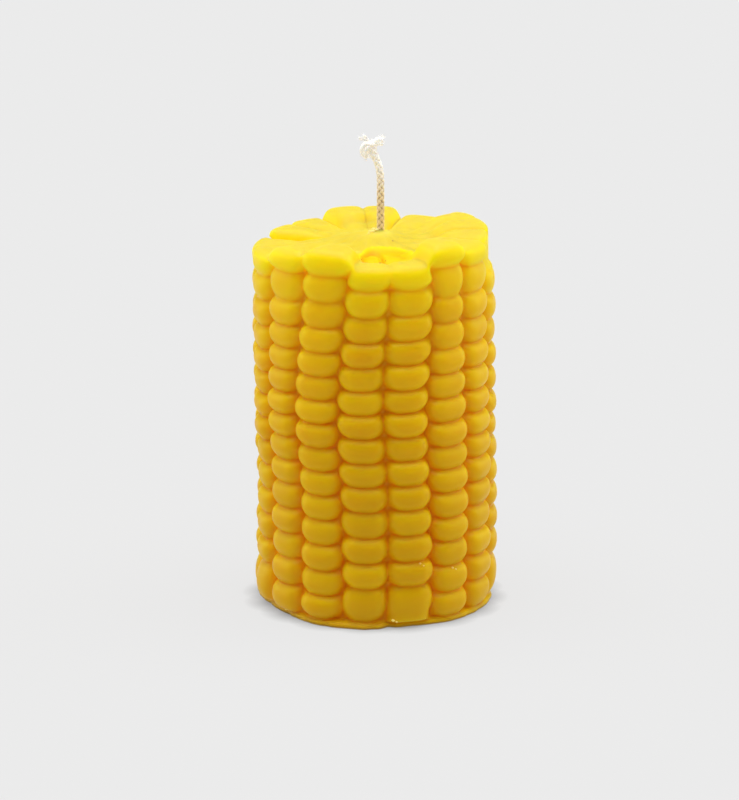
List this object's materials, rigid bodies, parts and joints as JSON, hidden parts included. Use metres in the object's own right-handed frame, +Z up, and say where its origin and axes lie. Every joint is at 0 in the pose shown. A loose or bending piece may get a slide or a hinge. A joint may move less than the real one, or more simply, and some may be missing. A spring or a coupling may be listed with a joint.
{
  "type": "corn cob candle",
  "caption": "Upright beeswax candle cast as a short piece of corn cob, with rows of kernels and a braided cotton wick frayed at its tip.",
  "frame": {"origin": "middle of the flat base", "axes": "+Z up along the candle, -Y towards the front, +X to the right seen from the front"},
  "size_m": [0.0566, 0.0558, 0.1095],
  "materials": {
    "wax": "satin yellow beeswax, translucent",
    "cotton": "braided undyed cotton, lower part soaked with wax"
  },
  "bodies": {
    "root": {"wax_body": "wax", "wick": "cotton"}
  },
  "joints": []
}
